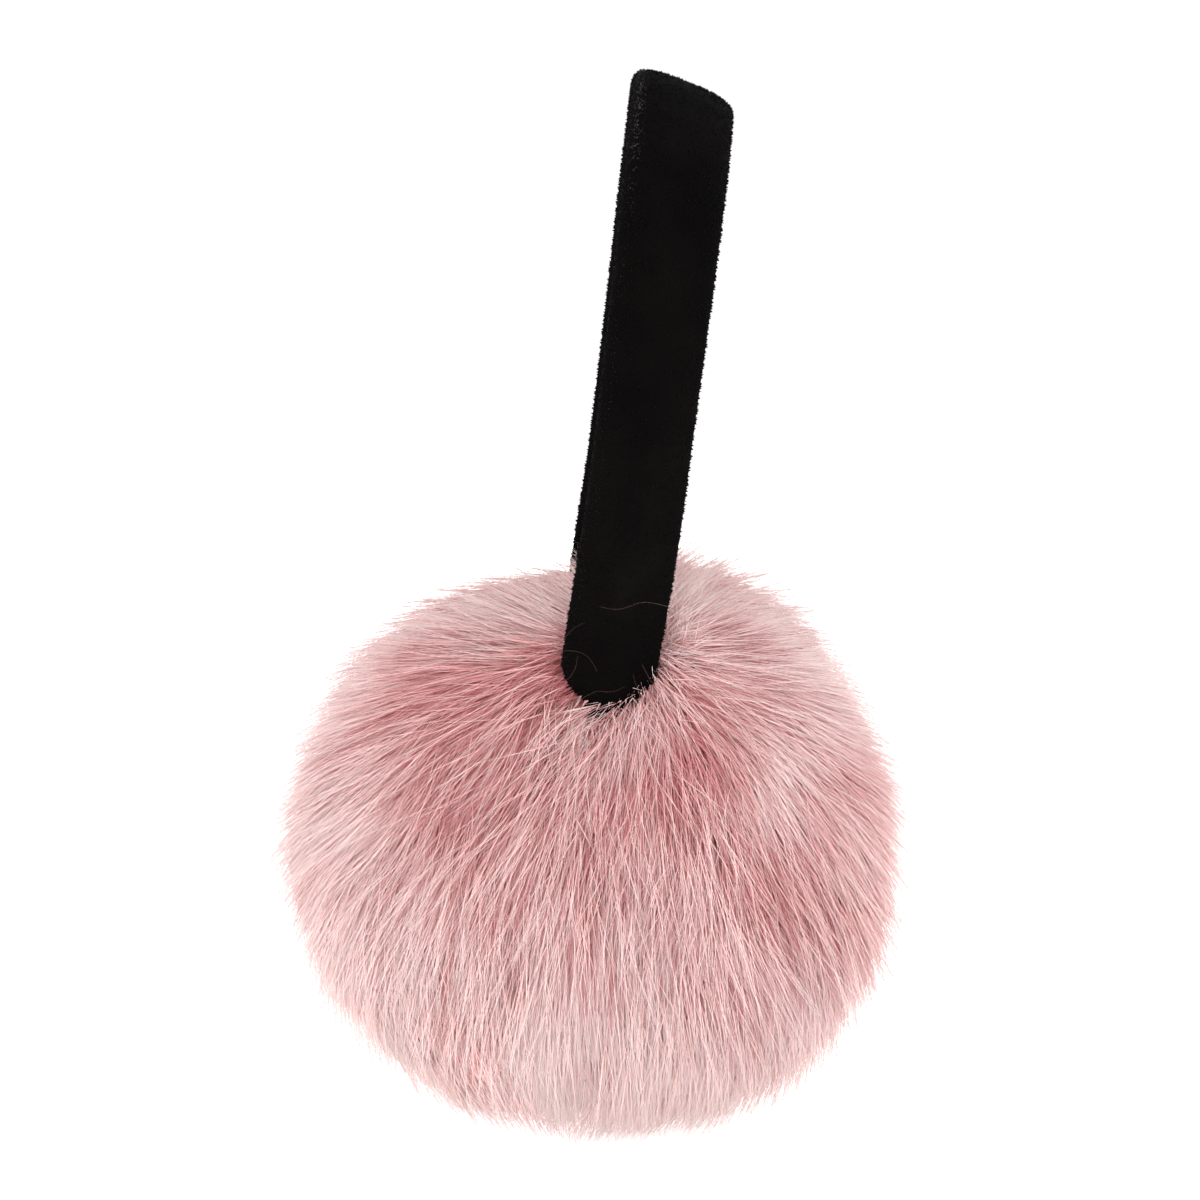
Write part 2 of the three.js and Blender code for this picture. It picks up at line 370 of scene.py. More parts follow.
@dataclass(frozen=True)
class FurShape:
    """The outline of the fur round a cup's own centre, with +X away from the ear.

    Attributes:
        half_width: From the centre to the front and back.
        half_height: From the centre to the top.
        outer_depth: From the centre away from the ear.
        inner_depth: From the centre toward the ear.
        roundness: 2 gives an ellipsoid, more a fuller shape.
        floor_drop: From the centre down to the floor.
        parting_back: How far behind the centre the fur parts.
        parting_height: How far above the centre it parts.
        fall: How much more steeply the fur runs below the parting than its place alone gives.
        tuck: How far the fur is combed inward, as a share of its way from the parting.
        swells: The uneven places round the cup.
        swell_fade: The shares of the way out between which the swells set in.
    """

    half_width: float = 66 * MM
    half_height: float = 60 * MM
    outer_depth: float = 42 * MM
    inner_depth: float = 28 * MM
    roundness: float = 2.3
    floor_drop: float = 57.5 * MM
    parting_back: float = 16 * MM
    parting_height: float = 54 * MM
    fall: float = 2.3
    tuck: float = 0.45
    swells: tuple[Swell, ...] = (
        Swell(angle=52, width=28, height=1.5 * MM),
        Swell(angle=172, width=22, height=1.0 * MM),
        Swell(angle=228, width=22, height=-4.0 * MM),
        Swell(angle=270, width=15, height=1.5 * MM),
        Swell(angle=318, width=28, height=2.0 * MM),
        Swell(angle=355, width=18, height=-1.0 * MM),
    )
    swell_fade: tuple[float, float] = (0.2, 0.8)

    def swell(self, outward: np.ndarray) -> np.ndarray:
        """Finds how far uneven brushing raises or flattens the fur round the cup.

        Args:
            outward: Rows of unit directions.

        Returns:
            A height for each row, which fades away toward the middle of the cup's sides.
        """
        around = np.degrees(np.arctan2(outward[:, 2], outward[:, 1])) % 360
        height = np.zeros(len(outward))
        for swell in self.swells:
            apart = (around - swell.angle + 180) % 360 - 180
            height += swell.height * np.exp(-((apart / swell.width) ** 2))
        return height * smooth_step(np.hypot(outward[:, 1], outward[:, 2]), *self.swell_fade)

    def reach(self, outward: np.ndarray, inward: np.ndarray | float = 0.0) -> np.ndarray:
        """Finds how far the fur reaches in each direction.

        Args:
            outward: Rows of unit directions.
            inward: How far inside the outline the surface lies.

        Returns:
            One distance for each row.
        """
        depth = np.where(outward[:, 0] > 0, self.outer_depth, self.inner_depth) - inward
        along = np.abs(outward[:, 0]) / depth
        across = np.hypot(
            outward[:, 1] / (self.half_width - inward),
            outward[:, 2] / (self.half_height - inward),
        )
        power = self.roundness
        return (along**power + across**power) ** (-1.0 / power)

    def normal(self, outward: np.ndarray) -> np.ndarray:
        """Finds the outline's unit normals in rows of directions."""
        x, y, z = outward.T
        depth = np.where(x > 0, self.outer_depth, self.inner_depth)
        across = np.hypot(y / self.half_width, z / self.half_height) ** (self.roundness - 2.0)
        parts = (
            np.sign(x) * np.abs(x / depth) ** (self.roundness - 1.0) / depth,
            across * y / self.half_width**2,
            across * z / self.half_height**2,
        )
        return unit(np.stack(parts, axis=-1))

    def comb(self, places: np.ndarray, normals: np.ndarray) -> np.ndarray:
        """Finds the way that the fur is combed: away from the parting, and down below it.

        The hair rises out of the coat as it runs, so it is tucked in by as much here.

        Args:
            places: Rows of points on the fur.
            normals: The outline's normals there.

        Returns:
            Rows of vectors along the surface, about as long as the way from the parting.
        """
        away = places - np.array([0.0, self.parting_back, self.parting_height])
        away[:, 0] = 0.0
        away[:, 2] *= np.where(away[:, 2] < 0, self.fall, 1.0)
        away -= self.tuck * np.linalg.norm(away, axis=1, keepdims=True) * unit(places) * [0, 1, 1]
        return away - normals * np.sum(away * normals, axis=1, keepdims=True)

    def spread(self, count: int, chance: np.random.Generator) -> np.ndarray:
        """Spreads directions so that their places on the outline lie evenly.

        Args:
            count: How many directions.
            chance: The seeded source of chance.

        Returns:
            Rows of unit directions.
        """
        half_depth = (self.outer_depth + self.inner_depth) / 2
        axes = np.array([half_depth, self.half_width, self.half_height])
        ball = unit(chance.normal(size=(count * 4, 3)))
        weight = np.linalg.norm(ball / axes, axis=1)
        ball = ball[chance.random(len(ball)) < weight / weight.max()][:count]
        depth = np.where(ball[:, 0] > 0, self.outer_depth, self.inner_depth)
        stretched = (ball[:, 0] * depth, ball[:, 1] * axes[1], ball[:, 2] * axes[2])
        return unit(np.stack(stretched, axis=1))


@dataclass(frozen=True)
class Headband:
    """The padded velvet band, its short pile and the seam along its front edge.

    The sizes up to foot_bank are those of the solid that the band stands for, but for the crown.

    Attributes:
        width: Of the band above its legs.
        thickness: Of the padding.
        fullness: 2 gives an oval section, more a boxier one.
        cup_offset: From the middle of the head to a cup's centre.
        foot_offset: From a cup's centre out to the middle of the foot.
        foot_height: From a cup's centre up to the end of the foot.
        foot_rounding: The length over which the foot narrows.
        foot_sharpness: 2 gives a half oval, less a more pointed foot.
        foot_width: Of the leg just above the foot.
        foot_forward: How far the leg bends forward down to the foot.
        leg_bend: The length over which the leg narrows and bends forward.
        stem_length: Down into the fur.
        stem_inset: How far the stem runs inward on its way down.
        stem_width: Of the stem.
        stem_thickness: Of the stem.
        crown_width: Of the band at its top.
        arch_width: Between the two sides of the middle line.
        arch_height: Of the middle line above the cups' centres.
        side_height: Where the arch is widest.
        lean: How far the arch leans back.
        setback: How far it stands in front of the cups' centres, at their height.
        bank: How much lower the back edge is than the front one at the top.
        leg_bank: The same above the bend of the legs.
        foot_bank: The same at the feet.
        floor_drop: From the cups' centres down to the floor.
        wave: How much the padding swells and thins, as a share of its thickness.
        wave_length: The length over which that wave turns by one radian.
        seam_angle: Where the seam runs, from the middle of the outer face round to the back.
        seam_height: How high the seam stands.
        seam_width: How wide it is, in radians.
        painted_sheen_from: The height above which the pile on the seam is painted pale as sheen.
        painted_sheen_to: The height at which that painted sheen is palest.
        painted_sheen_width: How wide the strip of painted sheen is, in radians.
        painted_sheen_least: The share of the painted sheen that is left lower down.
        painted_sheen_unevenness: The power that leaves most tufts in the painted sheen dark.
        flecks: The tone of the palest fleck elsewhere.
        fleck_rarity: The power that makes pale flecks rare.
        pile_height: Of a tuft.
        pile_width: Of a tuft.
        pile_spread: The least and the most of that width, as shares.
        pile_cut: The least and the most of that height, as shares.
        pile_nap: How far the tufts lean.
        pile_root: How deep a tuft stands in the skin.
        pile_cover: The share of the pile's height that the body leaves free for it.
        pile_count: How many tufts there are.
        around: The points round a section.
        step: Between the sections.
        fineness: The points on each curve of the middle line.
        velvet: The body's finish.
        pile_finish: The pile's finish.
    """

    width: float = 21.4 * MM
    thickness: float = 8 * MM
    fullness: float = 2.6
    cup_offset: float = 52 * MM
    foot_offset: float = 25 * MM
    foot_height: float = 35 * MM
    foot_rounding: float = 8.6 * MM
    foot_sharpness: float = 1.7
    foot_width: float = 19.8 * MM
    foot_forward: float = 1.1 * MM
    leg_bend: float = 45 * MM
    stem_length: float = 24 * MM
    stem_inset: float = 9 * MM
    stem_width: float = 8 * MM
    stem_thickness: float = 5 * MM
    crown_width: float = 23.0 * MM
    arch_width: float = 160 * MM
    arch_height: float = 159 * MM
    side_height: float = 82 * MM
    lean: float = math.radians(7.3)
    setback: float = 1.1 * MM
    bank: float = math.radians(15)
    leg_bank: float = math.radians(22)
    foot_bank: float = math.radians(2)
    floor_drop: float = 57.5 * MM
    seam_angle: float = math.radians(298)
    seam_height: float = 0.25 * MM
    seam_width: float = 0.13
    wave: float = 0.02
    wave_length: float = 13 * MM
    painted_sheen_from: float = 188 * MM
    painted_sheen_to: float = 212 * MM
    painted_sheen_width: float = 0.2
    painted_sheen_least: float = 0.1
    painted_sheen_unevenness: float = 1.5
    flecks: float = 0.03
    fleck_rarity: int = 4
    pile_height: float = 0.45 * MM
    pile_width: float = 0.5 * MM
    pile_spread: tuple[float, float] = (0.7, 1.2)
    pile_cut: tuple[float, float] = (0.7, 1.3)
    pile_nap: float = 0.45
    pile_root: float = 0.1 * MM
    pile_cover: float = 0.7
    pile_count: int = 26000
    around: int = 56
    step: float = 1.6 * MM
    fineness: int = 200
    velvet: ClothFinish = ClothFinish(
        name="velvet",
        dark=(0.0018, 0.0014, 0.0014),
        light=(0.0035, 0.0028, 0.0026),
        mottle_scale=60.0,
        grain_scale=1400.0,
        bump=0.7,
        bump_depth=0.3 * MM,
        roughness=1.0,
        sheen=0.0,
        gloss=0.03,
    )
    # The pile's pale tones serve the rare flecks and the painted sheen along the seam.
    pile_finish: StrandFinish = StrandFinish(
        name="velvet_pile",
        deep_root=(0.0012, 0.001, 0.001),
        deep_tip=(0.002, 0.0016, 0.0016),
        pale_root=(0.04, 0.037, 0.036),
        pale_tip=(0.13, 0.125, 0.12),
        roughness=1.0,
        sheen=0.0,
        gloss=0.03,
    )

    def half_line(self) -> tuple[np.ndarray, float]:
        """Draws the middle line of the left half, from the stem's end to the top.

        Returns:
            Rows of across and up, evenly spaced, and the length of the stem.
        """
        foot_x = self.cup_offset + self.foot_offset
        side_x = self.arch_width / 2
        crown = self.arch_height - self.side_height
        rise = (self.side_height - self.foot_height) / 3
        curves = (
            (
                (foot_x - self.stem_inset, self.foot_height - self.stem_length),
                (foot_x - self.stem_inset / 3, self.foot_height - self.stem_length * 2 / 3),
                (foot_x, self.foot_height - self.stem_length / 3),
                (foot_x, self.foot_height),
            ),
            (
                (foot_x, self.foot_height),
                (foot_x, self.foot_height + rise),
                (side_x, self.side_height - rise),
                (side_x, self.side_height),
            ),
            (
                (side_x, self.side_height),
                (side_x, self.side_height + crown * CIRCLE_HANDLE),
                (side_x * CIRCLE_HANDLE, self.arch_height),
                (0.0, self.arch_height),
            ),
        )
        share = np.linspace(0.0, 1.0, self.fineness)[:, None]
        lines = []
        for start, leave, arrive, end in curves:
            a, b, c, d = (np.array(point) for point in (start, leave, arrive, end))
            rest = 1.0 - share
            lines.append(
                a * rest**3 + 3 * b * rest**2 * share + 3 * c * rest * share**2 + d * share**3
            )
        stem = float(np.linalg.norm(np.diff(lines[0], axis=0), axis=1).sum())
        line = np.concatenate([lines[0], lines[1][1:], lines[2][1:]])
        gone = way_along(line)
        even = np.linspace(0.0, gone[-1], int(gone[-1] / self.step) + 1)
        return np.stack([np.interp(even, gone, line[:, i]) for i in (0, 1)], axis=1), stem

    def sections(self) -> np.ndarray:
        """Works out the band's skin.

        Returns:
            Sections from one stem to the other, each a ring of points.
        """
        line, stem = self.half_line()
        tangent = unit(np.gradient(line, axis=0))
        gone = way_along(line)
        past = gone - stem
        body = past[-1] - self.foot_rounding
        left = 1.0 - np.clip(past / self.foot_rounding, 0.0, 1.0)
        share = (1.0 - left**self.foot_sharpness) ** (1.0 / self.foot_sharpness)
        bend = smooth_step(past, 0.0, self.leg_bend)
        trim = self.pile_height * self.pile_cover
        crown = smooth_step(line[:, 1], self.side_height, self.arch_height)
        width = self.foot_width + (self.width - self.foot_width) * bend
        width += (self.crown_width - self.width) * crown
        half_width = np.maximum(self.stem_width, width * share) / 2 - trim
        half_thick = np.maximum(self.stem_thickness, self.thickness * np.sqrt(share)) / 2 - trim
        climb = smooth_step(past, self.leg_bend, body)
        above = self.leg_bank + (self.bank - self.leg_bank) * climb
        bank = self.foot_bank + (above - self.foot_bank) * bend
        angle = np.linspace(0.0, 2 * math.pi, self.around, endpoint=False)
        power = 2.0 / self.fullness
        rise = np.sign(np.cos(angle)) * np.abs(np.cos(angle)) ** power
        aside = np.sign(np.sin(angle)) * np.abs(np.sin(angle)) ** power
        swell = 1.0 + self.wave * np.sin(past / self.wave_length) * bend
        out = np.stack([tangent[:, 1], np.zeros(len(line)), -tangent[:, 0]], axis=1)
        back = np.array([0.0, 1.0, 0.0])
        outward = out * np.cos(bank)[:, None] + back * np.sin(bank)[:, None]
        across = back * np.cos(bank)[:, None] - out * np.sin(bank)[:, None]
        middle = np.stack([line[:, 0], -self.foot_forward * (1.0 - bend), line[:, 1]], axis=1)
        from_seam = (angle - self.seam_angle) / self.seam_width
        ridge = np.exp(-(from_seam**2)) * self.seam_height
        lift = rise[None, :] * (half_thick * swell)[:, None] + ridge[None, :] * bend[:, None]
        right = (
            middle[:, None, :]
            + outward[:, None, :] * lift[..., None]
            + across[:, None, :] * (aside[None, :] * half_width[:, None])[..., None]
        )
        mirrored = right[:-1][::-1] * np.array([-1.0, 1.0, 1.0])
        return self.lean_back(np.concatenate([right, mirrored]))

    def lean_back(self, points: np.ndarray) -> np.ndarray:
        """Leans points from the plane of the arch back over the cups."""
        x, y, z = np.moveaxis(points, -1, 0)
        sine, cosine = math.sin(self.lean), math.cos(self.lean)
        return np.stack(
            [x, y * cosine + z * sine - self.setback, z * cosine - y * sine + self.floor_drop],
            axis=-1,
        )

    def build_body(self, sections: np.ndarray) -> bpy.types.Object:
        """Draws a circle out along the arch, section by section, and closes its ends.

        Args:
            sections: The rings of the skin.

        Returns:
            The band's body.
        """
        work = bmesh.new()
        corner = work.verts.layers.int.new("corner")
        ring = bmesh.ops.create_circle(work, cap_ends=False, radius=1.0, segments=self.around)
        for index, vertex in enumerate(ring["verts"]):
            vertex[corner] = index
            vertex.co = sections[0][index]
        edges = list(work.edges)
        for section in sections[1:]:
            drawn = bmesh.ops.extrude_edge_only(work, edges=edges)["geom"]
            edges = [part for part in drawn if isinstance(part, bmesh.types.BMEdge)]
            for vertex in (part for part in drawn if isinstance(part, bmesh.types.BMVert)):
                vertex.co = section[vertex[corner]]
        rims = [edge for edge in work.edges if edge.is_boundary]
        bmesh.ops.holes_fill(work, edges=rims, sides=0)
        bmesh.ops.recalc_face_normals(work, faces=work.faces)
        for face in work.faces:
            face.smooth = len(face.verts) == 4
        mesh = bpy.data.meshes.new("headband_velvet")
        work.to_mesh(mesh)
        work.free()
        mesh.materials.append(self.velvet.build())
        band = add_object("headband_velvet", mesh)
        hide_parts("headband")
        return band

    def build_pile(self, sections: np.ndarray) -> bpy.types.Object:
        """Stands short tufts of pile all over the band.

        Args:
            sections: The rings of the skin.

        Returns:
            The pile.
        """
        chance = np.random.default_rng(7)
        rows = chance.uniform(0, len(sections) - 1.001, self.pile_count)
        turns = chance.uniform(0, self.around, self.pile_count)
        row, turn = rows.astype(int), turns.astype(int)
        next_turn = (turn + 1) % self.around
        low = sections[row, turn % self.around]
        side = sections[row, next_turn] - low
        rise = sections[row + 1, turn % self.around] - low
        normal = unit(np.cross(rise, side))
        centre = sections[row].mean(axis=1)
        normal *= np.sign(np.sum(normal * (low - centre), axis=1, keepdims=True))
        start = low + side * (turns - turn)[:, None] + rise * (rows - row)[:, None]
        nap = unit(normal + self.pile_nap * chance.normal(size=normal.shape))
        height = self.pile_height * chance.uniform(*self.pile_cut, (self.pile_count, 1))
        points = np.stack([start - normal * self.pile_root, start + nap * height], axis=1)
        # Painted sheen: the pile along the seam is paler, more so toward the top of the band.
        from_seam = np.abs(turns / self.around * 2 * math.pi - self.seam_angle)
        painted_sheen = np.exp(-((from_seam / self.painted_sheen_width) ** 2))
        rising = smooth_step(start[:, 2], self.painted_sheen_from, self.painted_sheen_to)
        painted_sheen *= self.painted_sheen_least + (1.0 - self.painted_sheen_least) * rising
        painted_sheen *= chance.uniform(0.0, 1.0, self.pile_count) ** self.painted_sheen_unevenness
        widths = self.pile_width * chance.uniform(*self.pile_spread, self.pile_count)
        flecks = self.flecks * chance.uniform(0.0, 1.0, self.pile_count) ** self.fleck_rarity
        tufts = Strands(points, widths, np.clip(flecks + painted_sheen, 0.0, 1.0))
        pile = add_object("headband_pile", tufts.mesh("headband_pile", self.pile_finish.build()))
        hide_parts("headband")
        return pile


@dataclass(frozen=True)
class Tufts:
    """The broad tufts that hairs side by side belong to.

    Attributes:
        middles: The directions of the tufts.
        leans: How far each one turns from the comb's way, in radians.
        heights: How far each one stands out.
        tones: How much paler each one is.
    """

    middles: np.ndarray
    leans: np.ndarray
    heights: np.ndarray
    tones: np.ndarray

    def nearest(self, directions: np.ndarray) -> np.ndarray:
        """Finds the tuft that each direction belongs to."""
        return np.argmax(directions @ self.middles.T, axis=1)


@dataclass(frozen=True)
class TuftStyle:
    """How the broad tufts differ.

    Attributes:
        count: How many a cup has.
        lean: How far they turn from the comb's way, in radians.
        height: The least and the most that they stand out.
        tone: The least and the most that they are paler.
    """

    count: int = 260
    lean: float = 0.12
    height: tuple[float, float] = (-2.2 * MM, 1.3 * MM)
    tone: tuple[float, float] = (-0.2, 0.2)

    def scatter(self, middles: np.ndarray, chance: np.random.Generator) -> Tufts:
        """Gives each tuft its own lean, height and tone.

        Args:
            middles: Rows of unit directions, one for each tuft.
            chance: The seeded source of chance.

        Returns:
            The tufts.
        """
        return Tufts(
            middles=middles,
            leans=chance.normal(scale=self.lean, size=len(middles)),
            heights=chance.uniform(*self.height, len(middles)),
            tones=chance.uniform(*self.tone, len(middles)),
        )


@dataclass(frozen=True)
class FootBed:
    """How the fur beds, frays and parts round the foot of the headband.

    Attributes:
        depth: How far inside the band's inner face the fur is pressed.
        beside: From the middle of the foot, where the press starts to fade and where it ends.
        rise: The height over the foot's end in which the press sets in.
        clear_in: How far inside the band's inner face no hair runs.
        clear_aside: How far beside the foot no hair runs.
        clear_more: How much farther that is higher up.
        more_between: The heights between which it grows.
        over_end: How far hair may reach up over the foot's end.
        fray: The least and the most that roots stand over the foot's end.
        hang_aside: How far from the middle of the foot hair hangs from under it.
        part_back: How far behind the cup's centre the fur parts below the foot.
        part_low: The height of the parting's lower end.
        part_fade: The heights below and over that end between which it opens.
        part_width: How wide it is.
        part_push: How far it pushes hair aside.
        part_depth: How far it presses hair in.
        part_share: The share of the hairs across it that are left out.
    """

    depth: float = 1.5 * MM
    beside: tuple[float, float] = (8.5 * MM, 17 * MM)
    rise: float = 4 * MM
    clear_in: float = 0.5 * MM
    clear_aside: float = 0.3 * MM
    clear_more: float = 1.1 * MM
    more_between: tuple[float, float] = (38 * MM, 56 * MM)
    over_end: float = 2.5 * MM
    fray: tuple[float, float] = (-2.0 * MM, 0.8 * MM)
    hang_aside: float = 12 * MM
    part_back: float = 2.2 * MM
    part_low: float = 30 * MM
    part_fade: tuple[float, float] = (4 * MM, 2 * MM)
    part_width: float = 1.6 * MM
    part_push: float = 0.5 * MM
    part_depth: float = 1.5 * MM
    part_share: float = 0.7


@dataclass(frozen=True)
class Combing:
    """How hairs follow their clump and tuft, and how they differ.

    Attributes:
        whorl_share: The share of its run that a hair loses at the parting.
        whorl_reach: How far from the parting that fades, as a share of a hair's length.
        lean: How far the clumps turn from the comb's way, in radians.
        pull: How far tips gather to the middle of their tuft, as a share of the way there.
        clump_limit: The farthest that a root lies from its clump, as a share of its radius.
        flatness: The depth of a clump along its hairs, as a share of its radius.
        run: The least and the most of a hair's run, as shares.
        shift: The least and the most that a hair shifts along its run, as shares.
        tone: How far the tones of the clumps differ.
        width: The least and the most of a hair's width, as shares.
    """

    whorl_share: float = 0.75
    whorl_reach: float = 1.2
    lean: float = 0.06
    pull: float = 0.22
    clump_limit: float = 1.6
    flatness: float = 0.6
    run: tuple[float, float] = (0.75, 1.15)
    shift: tuple[float, float] = (-0.35, 0.1)
    tone: float = 0.18
    width: tuple[float, float] = (0.7, 1.25)


@dataclass(frozen=True)
class ToneAndPaintedLight:
    """How much paler the fur is at its rim and low down, as painted light, and where patches of it
    are paler or deeper, partly its own tone and partly painted light and shade.

    Attributes:
        base: How much paler it is everywhere.
        rim: How much paler it is at the rim, as painted light.
        rim_fade: The shares of the way out between which the rim sets in.
        top: The share of the rim's painted light that is missing at the top.
        top_fade: The shares of the way up between which it goes.
        low: How much paler the fur is at the bottom, as painted light from below.
        low_fade: The shares of the way down between which that sets in.
        patches: The paler and deeper patches: the fur's own tone, with painted light and painted
            shade round the band's foot.
    """

    base: float = -0.25
    rim: float = 0.3
    rim_fade: tuple[float, float] = (0.6, 1.0)
    top: float = 0.6
    top_fade: tuple[float, float] = (0.5, 0.9)
    low: float = 0.4
    low_fade: tuple[float, float] = (-0.2, 0.9)
    patches: tuple[Patch, ...] = (
        Patch(back=-4.5 * MM, up=30 * MM, radius=6.5 * MM, paler=0.9),
        # Painted light on the fur behind the band's leg, where the band shades it.
        Patch(back=19 * MM, up=48 * MM, radius=10 * MM, paler=0.7),
        # Painted light on the fur in front of the band near the top of the cup, where the band
        # shades it.
        Patch(back=-14 * MM, up=58 * MM, radius=10 * MM, paler=0.6),
        Patch(back=-32 * MM, up=52 * MM, radius=10 * MM, paler=0.3),
        Patch(back=-10 * MM, up=22 * MM, radius=8 * MM, paler=0.3),
        Patch(back=44 * MM, up=14 * MM, radius=9 * MM, paler=0.6),
        Patch(back=-24 * MM, up=36 * MM, radius=20 * MM, paler=-0.35),
        # Painted shade in the crease in front of the foot, where the fur meets the band.
        Patch(back=-14 * MM, up=45 * MM, radius=12 * MM, paler=-0.3),
        Patch(back=-10 * MM, up=47 * MM, radius=5 * MM, paler=-0.5),
        Patch(back=20 * MM, up=22 * MM, radius=11 * MM, paler=-0.3),
        Patch(back=32 * MM, up=22 * MM, radius=12 * MM, paler=-0.3),
        Patch(back=56 * MM, up=10 * MM, radius=8 * MM, paler=-0.4),
        Patch(back=-24 * MM, up=8 * MM, radius=24 * MM, paler=-0.1),
        Patch(back=38 * MM, up=-10 * MM, radius=24 * MM, paler=-0.15),
        Patch(back=24 * MM, up=-36 * MM, radius=18 * MM, paler=-0.2),
        Patch(back=52 * MM, up=-22 * MM, radius=18 * MM, paler=-0.25),
        Patch(back=-44 * MM, up=32 * MM, radius=15 * MM, paler=-0.35),
        Patch(back=11 * MM, up=22 * MM, radius=13 * MM, paler=0.3),
        Patch(back=-46 * MM, up=3 * MM, radius=10 * MM, paler=0.25),
        Patch(back=8 * MM, up=-50 * MM, radius=17 * MM, paler=0.35),
    )

    def tone(self, tips: np.ndarray, places: np.ndarray) -> np.ndarray:
        """Finds how pale the fur is, with painted light at the rim and low down, and painted light
        and shade in some patches.

        Args:
            tips: Rows of directions from the cup's centre.
            places: The places on the outline there.

        Returns:
            How much paler each one is.
        """
        # Painted light: paler toward the rim, less so at the top, and paler low down.
        rim = smooth_step(np.hypot(tips[:, 1], tips[:, 2]), *self.rim_fade) * self.rim
        rim *= 1.0 - self.top * smooth_step(tips[:, 2], *self.top_fade)
        low = smooth_step(-tips[:, 2], *self.low_fade) * self.low
        tone = rim + low + self.base
        # Patches on the outer side: the fur's own tone, and painted light and shade round the
        # band's foot.
        for patch in self.patches:
            away = np.hypot(places[:, 1] - patch.back, places[:, 2] - patch.up) / patch.radius
            tone += patch.paler * np.exp(-(away**2)) * (places[:, 0] > 0)
        return tone


@dataclass(frozen=True)
class CoatStyle:
    """How one layer of the fur is cut and combed.

    Attributes:
        coat: Which layer it is.
        clumps: How many clumps of hair it has.
        hairs: The hairs in each clump.
        length: The full length that a hair covers along the fur.
        root_depth: How deep the roots are.
        tip_depth: The least and the most that the tips lie inside the outline.
        spread: The radius of a clump at its roots.
        gather: The least and the most that a clump narrows, as shares of its radius.
        stray: How far single tips leave the clump.
        width: A hair's width at the root.
        tone: The deepest and palest tone.
    """

    coat: Coat
    clumps: int
    hairs: int
    length: float
    root_depth: float
    tip_depth: tuple[float, float]
    spread: float
    gather: tuple[float, float]
    stray: float
    width: float
    tone: tuple[float, float]


